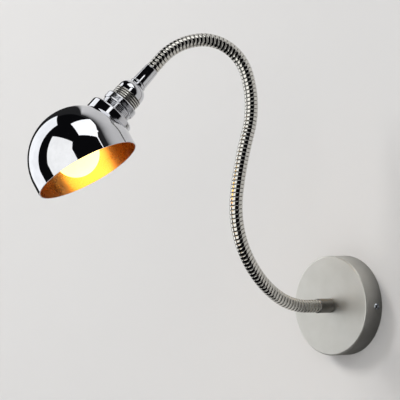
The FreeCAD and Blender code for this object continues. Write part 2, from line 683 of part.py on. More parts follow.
def shade(holder):
    """Thin half ball with its neck on the side: outer form less the same form inside."""
    wall = "shadeWall"
    span = "shadeRadius + neckReach"
    reach, offset = get(span), get("neckOffset")
    dome_place = Placement(Vector(offset, 0, -reach),
                           Rotation(Vector(0, 1, 0), -get("neckAngle")))
    neck_place = Placement(Vector(0, 0, get("neckRoot") - reach), Rotation())
    rise = f"{span} - neckRoot"
    forms = {
        "outside": (dome_form("dome_outside", "shadeRadius", "shadeSkirt"),
                    neck_form("neck_outside", "neckRadius", rise, "neckEdge")),
        "inside": (dome_form("dome_inside", f"(shadeRadius - {wall})", f"(shadeSkirt + {wall})"),
                   neck_form("neck_inside", f"(neckRadius - {wall})", f"({rise} - {wall})",
                             f"(neckEdge - {wall})")),
    }
    for dome, neck in forms.values():
        dome.Placement = dome_place
        neck.Placement = neck_place
    hole = bind(doc.addObject("Part::Cylinder", "neck_hole"),
                Radius="skirtRadius + neckPlay", Height="2 * neckEdge + neckPlay")
    hole.Placement = Placement(Vector(0, 0, -2 * get("neckEdge")), Rotation())
    outside = fused("shade_outside", list(forms["outside"]))
    inside = fused("shade_inside", [*forms["inside"], hole])
    turned = Placement(Vector(0, 0, -get("clampPlay")),
                       Rotation(Vector(0, 0, 1), get("shadeTurn")))
    keep(cut("shade", outside, inside), "shade", holder * turned)


# ---------------------------------------------------------------- lamp
def globe_lamp(holder):
    """Frosted globe, its stem, its screw cap, the black seal and the tip."""
    seal_top = f"{lampTop} - lampTipHeight"
    cap_top = f"{seal_top} - lampSealHeight"
    cap_foot = f"{cap_top} - lampCapLength"
    keep(turn("lamp_tip", [("0", "0"), ("lampTip", "0"), ("lampTip", "lampTipHeight / 2"),
                           ("lampTip / 2", "lampTipHeight"), ("0", "lampTipHeight")]),
         "lamp_tip", on_holder(holder, seal_top))
    keep(turn("lamp_seal", [("0", "0"), ("lampSeal", "0"), ("lampTip", "lampSealHeight"),
                            ("0", "lampSealHeight")]), "lamp_seal", on_holder(holder, cap_top))
    inner = "lampCapRadius - lampCapWall"
    keep(turn("lamp_cap", [
        (inner, "0"), ("lampCapRadius", "0"), ("lampCapRadius", "lampCapLength - lampCapShoulder"),
        ("lampSeal", "lampCapLength"), ("0", "lampCapLength"),
        ("0", "lampCapLength - lampCapWall"), ("lampSeal", "lampCapLength - lampCapWall"),
        (inner, "lampCapLength - lampCapShoulder - lampCapWall"),
    ]), "lamp_cap", on_holder(holder, cap_foot))
    # own Z points down from the cap's foot: plain throat, then the globe
    drop = "globeCentre"
    inside, bulb = "(globeRadius - globeWall)", "(globeThroat - globeWall)"
    meet = f"{drop} - sqrt(globeRadius^2 - globeThroat^2)"
    meet_inside = f"{drop} - sqrt({inside}^2 - {bulb}^2)"
    keep(turn("lamp_globe", [
        (inner, "0"), ("globeThroat", "globeThroat - lampCapRadius"), ("globeThroat", meet),
        ("globeRadius", drop, "globeRadius", 1),
        ("0", f"{drop} + globeRadius", "globeRadius", 1),
        ("0", f"{drop} + {inside}"), (inside, drop, inside, -1),
        (bulb, meet_inside, inside, -1), (bulb, "globeThroat - lampCapRadius"),
        (f"{inner} - globeWall", "0"),
    ]), "lamp_globe", on_holder(holder, cap_foot, flip=True))
    keep(turn("lamp_stem", [("0", "0"), (f"{inner} - globeWall", "0"),
                            ("stemRadius", "stemLength / 3"), ("stemRadius", "stemLength"),
                            ("0", "stemLength")]),
         "lamp_stem", on_holder(holder, cap_foot, flip=True))


# ---------------------------------------------------------------- the whole sconce
wall_bracket()
side_screws()
terminal_block()
clamp_screws()
block_fixing()
earth_post()
canopy_wires()
canopy()
arm_root()
lower_ferrule()
arm = arm_stretches()
gooseneck(arm)
holderSeat = holder_place(arm)
lampholder(holderSeat)
holder_wires(holderSeat)
clamp_rings(holderSeat)
shade(holderSeat)
globe_lamp(holderSeat)
doc.recompute()

for item in doc.Objects:
    if {"Invalid", "Error"} & set(item.State):
        raise ValueError(f"{item.Label} did not build: {item.State}")
for item in parts:
    if item.Shape.isNull() or not item.Shape.isValid() or not item.Shape.Solids:
        raise ValueError(f"{item.Label} has no sound solid")
    item.Shape.exportStep(f"parts/{item.Label}.step")
print(f"{len(parts)} sub-parts written")
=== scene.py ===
import json
import math

import bmesh
import bpy
from mathutils import Matrix, Quaternion, Vector


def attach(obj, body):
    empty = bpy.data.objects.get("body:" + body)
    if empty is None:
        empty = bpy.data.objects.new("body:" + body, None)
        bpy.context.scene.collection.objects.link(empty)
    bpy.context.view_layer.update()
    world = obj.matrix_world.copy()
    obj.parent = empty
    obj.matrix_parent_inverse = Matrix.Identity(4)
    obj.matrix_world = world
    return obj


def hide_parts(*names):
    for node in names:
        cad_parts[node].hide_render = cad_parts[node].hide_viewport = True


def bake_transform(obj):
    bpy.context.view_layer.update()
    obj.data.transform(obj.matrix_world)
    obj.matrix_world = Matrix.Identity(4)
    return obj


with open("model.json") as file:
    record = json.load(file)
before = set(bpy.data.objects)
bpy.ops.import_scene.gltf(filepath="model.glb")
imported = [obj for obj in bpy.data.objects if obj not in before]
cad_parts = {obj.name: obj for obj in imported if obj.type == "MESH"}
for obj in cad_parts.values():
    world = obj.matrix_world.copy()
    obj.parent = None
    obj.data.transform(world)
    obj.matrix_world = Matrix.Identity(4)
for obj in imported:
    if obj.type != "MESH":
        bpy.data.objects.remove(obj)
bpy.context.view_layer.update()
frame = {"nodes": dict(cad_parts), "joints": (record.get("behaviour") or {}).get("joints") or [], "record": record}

# Sizes in the dictionaries are millimetres. Pieces are modelled in millimetres about their
# own Z axis and turned into metres when they are put in place.
toMetres = 0.001
joints = {joint["name"]: joint for joint in frame["joints"]}


# frames of the lampholder and the shade
swivel = joints["shade_swivel"]
holderUp = Vector(swivel["axis"]).normalized()
holderSide = (Vector((0, 0, -1)) + holderUp * holderUp.z).normalized()
holderPlace = Matrix.Translation(swivel["pos_m"]) @ Matrix(
    (holderSide, holderUp.cross(holderSide), holderUp)).transposed().to_4x4()


def onHolder(height=0.0, flip=False):
    # own Z runs up the lampholder from the rim of the shade's neck
    turned = Matrix.Rotation(math.pi if flip else 0, 4, "X")
    return holderPlace @ Matrix.Translation((0, 0, height * toMetres)) @ turned


# shade: a half ball with a drum neck on its side, both hollow
shade = {"radius": 52.0, "wall": 1.0, "skirt": 12.0, "neckRadius": 23.2, "neckEdge": 1.8,
         "neckReach": 54.5, "neckRoot": 20.0, "neckOffset": 8.0, "neckAngle": 68.0,
         "turned": -22.0, "hole": 14.5, "clampPlay": 0.1, "steps": 144,
         "onSurface": 0.12, "facingAlike": 0.97}
domeMiddle = Vector((shade["neckOffset"], 0, -shade["neckReach"]))
domeTurn = Matrix.Rotation(-math.radians(shade["neckAngle"]), 4, "Y")
shadePlace = onHolder(-shade["clampPlay"]) @ Matrix.Rotation(
    math.radians(shade["turned"]), 4, "Z")
domeCentre = shadePlace @ (domeMiddle * toMetres)
domePole = (shadePlace @ domeTurn).to_3x3() @ Vector((0, 0, 1))


def fromHex(code):
    parts = [int(code[i:i + 2], 16) / 255 for i in (1, 3, 5)]
    return [c / 12.92 if c <= 0.04045 else ((c + 0.055) / 1.055) ** 2.4 for c in parts] + [1.0]


def addNode(tree, kind, inputs=None, **settings):
    # values of inputs are numbers, colours or the output socket of another node
    node = tree.nodes.new(kind)
    for key, value in settings.items():
        setattr(node, key, value)
    for key, value in (inputs or {}).items():
        if isinstance(value, bpy.types.NodeSocket):
            tree.links.new(value, node.inputs[key])
        else:
            node.inputs[key].default_value = value
    return node


def newMaterial(name):
    material = bpy.data.materials.new(name)
    material.use_nodes = True
    tree = material.node_tree
    tree.nodes.clear()
    place = addNode(tree, "ShaderNodeTexCoord").outputs["Object"]
    return material, tree, place


def mottle(tree, place, sizeMm, dark, light, low, high):
    # uneven tone and roughness over patches of about that size
    noise = addNode(tree, "ShaderNodeTexNoise", {
        "Vector": place, "Scale": 1000 / sizeMm, "Detail": 3.0})
    ramp = addNode(tree, "ShaderNodeValToRGB", {"Fac": noise.outputs["Fac"]})
    for stop, (position, code) in zip(ramp.color_ramp.elements, ((0.3, dark), (0.7, light))):
        stop.position = position
        stop.color = fromHex(code)
    rough = addNode(tree, "ShaderNodeMapRange", {
        "Value": noise.outputs["Fac"], "From Min": 0.3, "From Max": 0.7, "To Min": low,
        "To Max": high})
    return {"Base Color": ramp.outputs["Color"], "Roughness": rough.outputs["Result"]}


def grit(tree, place, sizeMm, depthMm):
    # fine relief of about that size and depth
    noise = addNode(tree, "ShaderNodeTexNoise", {
        "Vector": place, "Scale": 1000 / sizeMm, "Detail": 2.0})
    bump = addNode(tree, "ShaderNodeBump", {
        "Height": noise.outputs["Fac"], "Distance": depthMm * toMetres})
    return {"Normal": bump.outputs["Normal"]}


def closeMaterial(material, tree, *inputs):
    values = {key: value for group in inputs for key, value in group.items()}
    shader = addNode(tree, "ShaderNodeBsdfPrincipled", values)
    addNode(tree, "ShaderNodeOutputMaterial", {"Surface": shader.outputs["BSDF"]})
    return material


def polishedChrome():
    # chromium plate on polished steel: a cool mirror, with a faint haze left by the polishing mop
    material, tree, place = newMaterial("polishedChromePlate")
    return closeMaterial(material, tree, {"Metallic": 1.0},
                         mottle(tree, place, 9.0, "#C9CACE", "#D2D3D7", 0.02, 0.045),
                         grit(tree, place, 14.0, 0.01))


def satinNickel():
    # nickel plate over a bead-blasted steel cup: soft, slightly warm grey with a fine grain;
    # the real grit is under 0.1 mm, drawn here at 0.5 mm so that it shows
    material, tree, place = newMaterial("satinNickelPlate")
    return closeMaterial(material, tree, {"Metallic": 1.0},
                         mottle(tree, place, 22.0, "#D2D1CB", "#DAD9D4", 0.40, 0.46),
                         grit(tree, place, 0.5, 0.012))


def turnedNickel():
    # nickel plate on turned steel: a satin skin with the faint marks of the tool, its tone darkened well below
    # nickel's as painted shade for the dark reflections it shows
    material, tree, place = newMaterial("turnedNickelPlate")
    return closeMaterial(material, tree, {"Metallic": 1.0},
                         # painted shade: dark grey in place of the dark reflections on the ferrule
                         mottle(tree, place, 6.0, "#8A8884", "#969490", 0.14, 0.20),
                         grit(tree, place, 0.8, 0.01))


def woundSteel():
    # bright nickel on wound steel strip: mirror crests, and painted shade that darkens the grooves, which are also
    # rougher
    material, tree, place = newMaterial("woundNickelSteel")
    groove = addNode(tree, "ShaderNodeAttribute", attribute_name="groove").outputs["Fac"]
    crest = mottle(tree, place, 3.0, "#C8C6C0", "#D4D2CC", 0.06, 0.10)
    # painted shade: the colour darkens towards the groove root
    grooveShade = addNode(tree, "ShaderNodeMix", {
        0: groove, 6: crest["Base Color"], 7: fromHex("#2F2D2A")}, data_type="RGBA")
    dull = addNode(tree, "ShaderNodeMapRange", {
        "Value": groove, "To Min": crest["Roughness"], "To Max": 0.4})
    return closeMaterial(material, tree, grit(tree, place, 3.0, 0.012), {
        "Metallic": 1.0, "Base Color": grooveShade.outputs[2], "Roughness": dull.outputs["Result"]})


def satinInside():
    # clear-lacquered satin steel inside the shade, its colour tinted amber: painted warm lamp light. It takes the
    # lamp's light in a soft sheen, drawn out from the crown to the rim across the fine rings left by spinning
    material, tree, place = newMaterial("satinLacquerInside")
    spoke = addNode(tree, "ShaderNodeVectorMath", {0: place, 1: domeCentre},
                    operation="SUBTRACT")
    ringWay = addNode(tree, "ShaderNodeVectorMath", {0: spoke.outputs[0], 1: domePole},
                     operation="CROSS_PRODUCT")
    outward = addNode(tree, "ShaderNodeVectorMath", {0: spoke.outputs[0], 1: ringWay.outputs[0]},
                      operation="CROSS_PRODUCT")
    drawn = addNode(tree, "ShaderNodeVectorTransform", {"Vector": outward.outputs[0]},
                    vector_type="VECTOR", convert_from="OBJECT", convert_to="WORLD")
    return closeMaterial(material, tree, {"Metallic": 1.0, "Anisotropic": 0.7,
                                          "Tangent": drawn.outputs[0]},
                         # amber tone: painted warm lamp light
                         mottle(tree, place, 12.0, "#D6A66F", "#DEAE77", 0.26, 0.29),
                         grit(tree, place, 0.6, 0.01))


def litGlass():
    # frosted glass over a lit filament: glows warm, with faint clouds in the frosting
    material, tree, place = newMaterial("frostedGlassLit")
    cloud = mottle(tree, place, 18.0, "#FFD268", "#FFD872", 0.4, 0.5)
    return closeMaterial(material, tree, grit(tree, place, 0.4, 0.01), {
        "Base Color": fromHex("#A89878"), "Roughness": cloud["Roughness"],
        "Emission Color": cloud["Base Color"], "Emission Strength": 4.2})


def plated(name, dark, light, low, high, grainMm):
    # small metal pieces: plate or bare metal with a mottled tone and fine tool marks
    material, tree, place = newMaterial(name)
    return closeMaterial(material, tree, {"Metallic": 1.0},
                         mottle(tree, place, 5.0, dark, light, low, high),
                         grit(tree, place, grainMm, 0.02))


def moulded(name, dark, light, low, high, grainMm):
    # plastic, rubber or glazed clay: a slightly uneven skin from the mould or the kiln
    material, tree, place = newMaterial(name)
    return closeMaterial(material, tree, mottle(tree, place, 7.0, dark, light, low, high),
                         grit(tree, place, grainMm, 0.02))


def stripedWire():
    # earth wire: green PVC with a yellow stripe along its upper side
    material, tree, place = newMaterial("greenYellowPvc")
    height = addNode(tree, "ShaderNodeSeparateXYZ", {"Vector": place}).outputs["Z"]
    stripeFrom = -1.6 * toMetres
    upper = addNode(tree, "ShaderNodeMath", {0: height, 1: stripeFrom},
                    operation="GREATER_THAN")
    stripe = addNode(tree, "ShaderNodeMix", {
        0: upper.outputs[0], 6: fromHex("#2F8A35"), 7: fromHex("#E6D21E")}, data_type="RGBA")
    return closeMaterial(material, tree, grit(tree, place, 1.0, 0.02), {
        "Base Color": stripe.outputs[2], "Roughness": 0.35})


def clearGlass():
    # plain pressed glass of the lamp's stem
    material, tree, place = newMaterial("pressedGlass")
    return closeMaterial(material, tree, {"Transmission Weight": 0.9},
                         mottle(tree, place, 4.0, "#E8F0EC", "#F0F6F3", 0.03, 0.08),
                         grit(tree, place, 4.0, 0.02))


chrome, nickel, shadedFerruleNickel = polishedChrome(), satinNickel(), turnedNickel()
steel, lacquer, glow = woundSteel(), satinInside(), litGlass()
brightZinc = plated("brightZincPlate", "#B4BAC1", "#C8CED5", 0.14, 0.2, 1.2)
zinc = plated("zincPlatedSteel", "#A3A8AE", "#BCC1C6", 0.30, 0.42, 1.2)
brass = plated("turnedBrass", "#A98A45", "#C9A95C", 0.25, 0.38, 1.0)
cadMaterials = {
    "zinc_plated_steel": zinc, "brass": brass, "polished_chrome": chrome,
    "satin_nickel": nickel, "wound_steel": zinc, "frosted_glass": glow,
    "clear_glass": clearGlass(), "green_wire": stripedWire(),
    "flex_sheath": moulded("blackPvcSheath", "#161616", "#202020", 0.42, 0.52, 1.2),
    "white_polyamide": moulded("whitePolyamide", "#D8D6CD", "#E4E2DA", 0.45, 0.55, 0.8),
    "grey_polyamide": moulded("greyPolyamide", "#5C5D5F", "#6A6B6D", 0.45, 0.55, 0.8),
    "porcelain": moulded("glazedPorcelain", "#E3DED2", "#EFEBE2", 0.12, 0.2, 3.0),
    "brown_wire": moulded("brownPvc", "#4A2A16", "#5A351E", 0.35, 0.45, 1.5),
    "blue_wire": moulded("bluePvc", "#1D4FA0", "#2A5FB4", 0.35, 0.45, 1.5),
    "lamp_cap_metal": plated("nickelledBrassCap", "#B9B29C", "#CFC9B6", 0.25, 0.35, 1.0),
    "lamp_seal_glass": moulded("blackSealingGlass", "#141416", "#1E1E22", 0.08, 0.15, 2.0),
}
for row in frame["record"]["subparts"]:
    slots = frame["nodes"][row["node"]].data.materials
    slots.clear()
    slots.append(cadMaterials[row["material_slot"]])
print("finishes made")


def softCorners(outline, steps=4):
    # points are (across, along) or (across, along, rounding)
    corners = []
    for index, point in enumerate(outline):
        here = Vector(point[:2])
        if len(point) < 3:
            corners.append(here)
            continue
        before = (Vector(outline[index - 1][:2]) - here).normalized()
        after = (Vector(outline[(index + 1) % len(outline)][:2]) - here).normalized()
        half = before.angle(after) / 2
        inset = point[2] / math.tan(half)
        centre = here + (before + after).normalized() * (point[2] / math.sin(half))
        start, end = here + before * inset - centre, here + after * inset - centre
        sweep = start.angle_signed(end)
        for step in range(steps + 1):
            turned = Matrix.Rotation(-sweep * step / steps, 2)
            corners.append(centre + turned @ start)
    return corners


def lathe(outline, steps=96, closed=True, rounding=4):
    # turns an outline of (radius, height) once about Z
    bm = bmesh.new()
    points = softCorners(outline, rounding)
    verts = [bm.verts.new((p[0], 0, p[1])) for p in points]
    chain = verts + verts[:1] if closed else verts
    edges = [bm.edges.new(pair) for pair in zip(chain, chain[1:])]
    bmesh.ops.spin(bm, geom=verts + edges, cent=(0, 0, 0), axis=(0, 0, 1),
                   angle=math.tau, steps=steps, use_merge=True)
    bmesh.ops.remove_doubles(bm, verts=bm.verts, dist=1e-4)
    loose = [e for e in bm.edges if not e.link_faces]
    bmesh.ops.delete(bm, geom=loose, context="EDGES")
    bmesh.ops.recalc_face_normals(bm, faces=bm.faces)
    return bm


def wound(rib, pitch, bore, low, high, steps, boreCuts):
    # screws one rib's outline of (radius, share of the pitch) from low to high round a bore
    bm = bmesh.new()
    start = math.floor(low / pitch - 1) * pitch
    verts = [bm.verts.new((radius, 0, start + share * pitch)) for radius, share in rib]
    edges = [bm.edges.new(pair) for pair in zip(verts, verts[1:])]
    bmesh.ops.spin(bm, geom=verts + edges, cent=(0, 0, 0), axis=(0, 0, 1),
                   dvec=(0, 0, pitch / steps), angle=math.tau, steps=steps)
    turns = 1
    while turns * pitch < high - start:
        more = bmesh.ops.duplicate(bm, geom=bm.verts[:] + bm.edges[:] + bm.faces[:])["geom"]
        moved = [v for v in more if isinstance(v, bmesh.types.BMVert)]
        bmesh.ops.translate(bm, vec=(0, 0, pitch * turns), verts=moved)
        turns *= 2
    wall = [bm.verts.new((bore, 0, low - 1 + (high - low + 2) * i / boreCuts))
            for i in range(boreCuts + 1)]
    wallEdges = [bm.edges.new(pair) for pair in zip(wall, wall[1:])]
    bmesh.ops.spin(bm, geom=wall + wallEdges, cent=(0, 0, 0), axis=(0, 0, 1),
                   angle=math.tau, steps=steps, use_merge=True)
    bmesh.ops.remove_doubles(bm, verts=bm.verts, dist=1e-4)
    trim(bm, low, high)
    return bm


def markGrooves(bm, root, crest):
    # how deep a point lies between crest and root, for the painted shade and roughness in the grooves
    groove = bm.verts.layers.float.new("groove")
    for vert in bm.verts:
        vert[groove] = min(max((crest - vert.co.xy.length) / (crest - root), 0.0), 1.0)


def trim(bm, low, high):
    # cuts square ends and closes the wall between the outside and the bore
    for height, side in ((low, -1), (high, 1)):
        cut = bmesh.ops.bisect_plane(bm, geom=bm.verts[:] + bm.edges[:] + bm.faces[:],
                                     plane_co=(0, 0, height), plane_no=(0, 0, side),
                                     clear_outer=True)
        rim = [e for e in cut["geom_cut"] if isinstance(e, bmesh.types.BMEdge)]
        bmesh.ops.bridge_loops(bm, edges=rim)
    bmesh.ops.recalc_face_normals(bm, faces=bm.faces)


def put(bm, place):
    # from millimetres about its own axis to metres in the frame
    bmesh.ops.transform(bm, matrix=place @ Matrix.Scale(toMetres, 4), verts=bm.verts)
    return bm


def newPiece(bm, name, materials, sharpOver=38.0):
    for face in bm.faces:
        face.smooth = True
    for edge in bm.edges:
        turned = edge.calc_face_angle(0.0)
        edge.smooth = turned < math.radians(sharpOver)
    mesh = bpy.data.meshes.new(name)
    bm.to_mesh(mesh)
    bm.free()
    for material in materials:
        mesh.materials.append(material)
    piece = bpy.data.objects.new(name, mesh)
    bpy.context.scene.collection.objects.link(piece)
    return piece


def steadyNormals(piece):
    # broad faces keep their own slope, so that reflections run straight up to the roundings
    weighted = piece.modifiers.new("broadFacesFirst", "WEIGHTED_NORMAL")
    weighted.keep_sharp = True
    weighted.weight = 80


def turnedPiece(name, outline, place, material, body, nodes, steps=96):
    piece = newPiece(put(lathe(outline, steps), place), name, [material])
    steadyNormals(piece)
    return mounted(piece, body, nodes)


def mounted(piece, body, nodes):
    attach(piece, body)
    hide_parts(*nodes)
    return piece


def offWall(out=0.0):
    # own Z points away from the wall and own Y points up
    return Matrix.Translation((0, -out * toMetres, 0)) @ Matrix.Rotation(math.pi / 2, 4, "X")


# canopy, its screws and the lower ferrule
canopy = {"radius": 50.0, "depth": 23.0, "wall": 1.0, "edge": 1.6, "hole": 5.05,
          "screwPlace": 8.0, "screwHead": 3.3, "screwRise": 2.2, "screwShank": 1.8,
          "screwLength": 8.0, "screwGap": 0.05, "recessLength": 4.0, "recessWidth": 0.95,
          "recessDepth": 1.5}


def makeCanopy():
    c = canopy
    inner, back = c["radius"] - c["wall"], c["depth"] - c["wall"]
    turnedPiece("canopyCup", [
        (c["hole"], c["depth"]), (c["hole"], back), (inner, back, c["edge"] - c["wall"]),
        (inner, 0), (c["radius"], 0), (c["radius"], c["depth"], c["edge"]),
    ], offWall(), nickel, "root", ["canopy"], steps=160)


def carved(base, tool, operation="DIFFERENCE"):
    # one solid less or with another, as a new mesh on the base piece
    cutter = base.modifiers.new("carved", "BOOLEAN")
    cutter.operation = operation
    cutter.solver = "EXACT"
    cutter.object = tool
    graph = bpy.context.evaluated_depsgraph_get()
    made = bpy.data.meshes.new_from_object(base.evaluated_get(graph))
    base.modifiers.clear()
    base.data = made
    bpy.data.objects.remove(tool)
    return base


def makeSideScrews():
    # pan heads with a cross recess, one at each side of the rim
    c = canopy
    crown = (c["screwHead"] ** 2 + c["screwRise"] ** 2) / (2 * c["screwRise"])
    arc = [math.asin(c["screwHead"] / crown) * i / 8 for i in range(9)]
    dome = [(crown * math.sin(a), crown - c["screwRise"] - crown * math.cos(a)) for a in arc]
    outline = [(0, -c["screwRise"]), *dome[1:], (c["screwShank"], 0),
               (c["screwShank"], c["screwLength"]), (0, c["screwLength"])]
    for name, side in (("sideScrewRight", 1), ("sideScrewLeft", -1)):
        place = Matrix.Translation((side * (c["radius"] + c["screwGap"]) * toMetres,
                                    -c["screwPlace"] * toMetres, 0))
        place = place @ Matrix.Rotation(-side * math.pi / 2, 4, "Y")
        screw = newPiece(put(lathe(outline, 48, closed=False), place), name, [brightZinc])
        for turned in (math.pi / 4, -math.pi / 4):
            slot = bmesh.new()
            bmesh.ops.create_cube(slot, size=1.0, matrix=Matrix.Translation(
                (0, 0, -c["screwRise"])) @ Matrix.Rotation(turned, 4, "Z") @ Matrix.Diagonal(
                (c["recessLength"], c["recessWidth"], 2 * c["recessDepth"], 1)))
            carved(screw, newPiece(put(slot, place), name + "Slot", [brightZinc]))
        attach(screw, "root")
        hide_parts("side_screws")


ferrules = {"lowerRadius": 7.25, "lowerLength": 19.0, "upperRadius": 7.6, "upperTip": 6.9,
            "upperBarrel": 9.0, "barrelOverTip": 0.4, "upperLength": 20.0, "rounding": 1.1,
            "bore": 5.05, "socket": 5.6, "socketDepth": 6.0}


def ferruleOutline(radius, tip, barrel, length):
    f = ferrules
    shoulder = min(radius, tip + f["barrelOverTip"])
    return [(f["bore"], 0), (radius, 0, f["rounding"]), (shoulder, barrel),
            (tip, length, f["rounding"]), (f["socket"], length),
            (f["socket"], length - f["socketDepth"]), (f["bore"], length - f["socketDepth"])]


def makeLowerFerrule():
    f = ferrules
    outline = ferruleOutline(f["lowerRadius"], f["lowerRadius"], f["lowerLength"] / 2,
                             f["lowerLength"])
    turnedPiece("lowerFerruleTurned", outline, offWall(canopy["depth"]), shadedFerruleNickel,
                "root", ["lower_ferrule"])


makeCanopy()
makeSideScrews()
makeLowerFerrule()
print("canopy made")


# gooseneck: a straight wound tube is cut in lengths and bent along the arm
arm = {"crest": 6.5, "root": 5.45, "bore": 3.9, "pitch": 4.0, "straight": 13.0, "socket": 6.0,
       "stretch": 60.0, "facets": 36, "boreCuts": 220, "flexRadius": 2.6, "flexFacets": 20,
       "flexCuts": 240, "flexLead": 29.2, "flexTail": 27.15, "ferruleEnd": 58.8}
# one rib across its pitch: (share of its height, share of the pitch)
ribShape = [(0, 0), (0.55, 0.045), (0.85, 0.10), (0.96, 0.18), (1.0, 0.32), (1.0, 0.68),
            (0.96, 0.82), (0.85, 0.90), (0.55, 0.955), (0, 1)]
armBodies = ["root", "arm_2", "arm_3", "arm_4", "arm_5", "arm_6", "head"]


def armLine():
    # tangent arcs from the lower ferrule through the joints to the upper ferrule
    names = ("base_tilt", "base_swing", "middle_tilt", "middle_swing", "top_tilt", "top_swing")
    straight = arm["straight"] * toMetres
    armEnd = Vector(swivel["pos_m"]) + holderUp * arm["ferruleEnd"] * toMetres
    ends = [Vector(joints[name]["pos_m"]) for name in names] + [armEnd]
    place = Vector((0, -(canopy["depth"] + ferrules["lowerLength"]) * toMetres, 0))
    turned = Matrix.Rotation(math.pi / 2, 3, "X")
    stretches = []
    for index, end in enumerate(ends):
        ahead = turned.col[2].copy()
        lead = straight if index == 0 else 0.0
        tail = straight if index == len(ends) - 1 else 0.0
        first = place + ahead * lead
        chord = end + holderUp * tail - first
        axis = ahead.cross(chord).normalized()
        angle = 2 * ahead.angle(chord)
        radius = chord.length / 2 / math.sin(angle / 2)
        stretches.append({"first": first, "turned": turned, "axis": axis, "angle": angle,
                          "radius": radius, "lead": lead})
        turned = Quaternion(axis, angle).to_matrix() @ turned
        place = end
    return stretches


stretches = armLine()


def onArm(distance):
    # point and turned axes of the arm at a distance in millimetres from the lower ferrule
    index = min(max(int(distance // arm["stretch"]), 0), len(stretches) - 1)
    part = stretches[index]
    along = (distance - index * arm["stretch"]) * toMetres - part["lead"]
    angle = min(max(along / part["radius"], 0.0), part["angle"])
    swept = Quaternion(part["axis"], angle).to_matrix()
    spoke = part["turned"].col[2].cross(part["axis"]) * part["radius"]
    turned = swept @ part["turned"]
    rest = along - angle * part["radius"]
    return part["first"] - spoke + swept @ spoke + turned.col[2] * rest, turned


def bent(bm):
    # lays a straight tube along the arm, its Z as the distance
    known = {}
    for vert in bm.verts:
        key = round(vert.co.z, 3)
        if key not in known:
            known[key] = onArm(vert.co.z)
        point, turned = known[key]
        vert.co = point + turned @ Vector((vert.co.x, vert.co.y, 0)) * toMetres
    return bm


def fillCuts(bm, ends):
    # cuts a solid round at each (height, side) and fills the cut
    for height, side in ends:
        found = bmesh.ops.bisect_plane(
            bm, geom=bm.verts[:] + bm.edges[:] + bm.faces[:], plane_co=(0, 0, height),
            plane_no=(0, 0, side), clear_outer=True)
        rim = [e for e in found["geom_cut"] if isinstance(e, bmesh.types.BMEdge)]
        bmesh.ops.edgeloop_fill(bm, edges=rim)


def armPieces(name, form, ends, material, nodeName, sharpOver=38.0, hollow=False):
    # root end, six lengths that each reach across a joint, and the holder's end
    half, total = arm["stretch"] / 2, arm["stretch"] * len(stretches)
    cuts = [-ends[0], *[half + arm["stretch"] * i for i in range(len(stretches))],
            total + ends[1]]
    last = len(cuts) - 2
    for index in range(last + 1):
        bm = form.copy()
        low, high = cuts[index], cuts[index + 1]
        if hollow:
            trim(bm, low, high)
        else:
            fillCuts(bm, [(low, -1)] * (index > 0) + [(high, 1)] * (index < last))
        piece = newPiece(bent(bm), f"{name}{index + 1}", [material], sharpOver)
        if index in (0, last):
            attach(piece, armBodies[0] if index == 0 else armBodies[-1])
        else:
            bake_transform(piece)
        if index < len(stretches):
            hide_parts(f"{nodeName}_{index + 1}")
    form.free()


def makeGooseneck():
    a = arm
    rib = [(a["root"] + (a["crest"] - a["root"]) * rise, share) for rise, share in ribShape]
    total = a["stretch"] * len(stretches)
    tube = wound(rib, a["pitch"], a["bore"], -a["socket"], total + a["socket"],
                 a["facets"], a["boreCuts"])
    # groove depth, which the finish turns into painted shade
    markGrooves(tube, a["root"], a["crest"])
    armPieces("gooseneckLength", tube, (a["socket"], a["socket"]), steel,
              "gooseneck", 60.0, hollow=True)
    low, high = -a["flexLead"], total + a["flexTail"]
    cuts = a["flexCuts"]
    wall = [(a["flexRadius"], low + (high - low) * i / cuts) for i in range(cuts + 1)]
    flex = lathe([(0, low), *wall, (0, high)], a["flexFacets"], closed=False)
    armPieces("flexLength", flex, (a["flexLead"], a["flexTail"]), cadMaterials["flex_sheath"],
              "flex")


makeGooseneck()
print("gooseneck made")


# lampholder
holder = {"ringRadius": 16.9, "hubRadius": 15.6, "hubHeight": 7.0, "ringHeight": 7.6,
          "ringEdge": 1.3, "hole": 14.25, "hubLines": 4, "ringLines": 5, "lineDepth": 0.35,
          "innerRing": 19.5, "innerRingHeight": 5.0, "lineHalf": 0.4,
          "skirtRadius": 14.2, "skirtRoot": 13.45, "skirtBore": 12.4, "threadPitch": 2.3,
          "skirtTop": 23.7, "skirtFoot": -20.0,
          "capRadius": 13.8, "capTop": 8.4, "capStraight": 3.0, "capHeight": 11.8,
          "capSpigot": 4.5, "capInner": 12.2, "capWall": 1.6, "nippleHole": 5.05,
          "lockRadius": 8.2, "lockThick": 3.3, "lockEdge": 0.8}
threadShape = [(0, 0), (0, 0.2), (0.6, 0.32), (0.95, 0.42), (1.0, 0.52), (1.0, 0.68),
               (0.95, 0.78), (0.6, 0.88), (0, 1)]


def turnedLines(radius, low, high, count):
    # fine grooves cut side by side round a turned piece
    pitch = (high - low) / count
    lines = []
    for number in range(count):
        middle = low + (number + 0.5) * pitch
        lines += [(radius, middle - holder["lineHalf"]), (radius - holder["lineDepth"], middle),
                  (radius, middle + holder["lineHalf"])]
    return lines


def makeRings():
    h = holder
    hub, ring, top = h["hubRadius"], h["ringRadius"], h["hubHeight"] + h["ringHeight"]
    turnedPiece("outerRingTurned", [
        (h["hole"], 0), (hub, 0, 0.25),
        *turnedLines(hub, 0.6, h["hubHeight"] - 0.4, h["hubLines"]), (hub, h["hubHeight"]),
        (ring, h["hubHeight"], h["ringEdge"]),
        *turnedLines(ring, h["hubHeight"] + h["ringEdge"], top - h["ringEdge"],
                     h["ringLines"]), (ring, top, h["ringEdge"]),
        (h["hole"], top, 0.2),
    ], onHolder(), chrome, "head", ["outer_ring"], 128)
    seat = -shade["wall"] - 2 * shade["clampPlay"]
    low = seat - h["innerRingHeight"]
    turnedPiece("innerRingTurned", [
        (h["hole"], low, 0.3), (h["innerRing"], low, 0.8), (h["innerRing"], seat),
        (h["hole"], seat),
    ], onHolder(), chrome, "head", ["inner_ring"], 128)


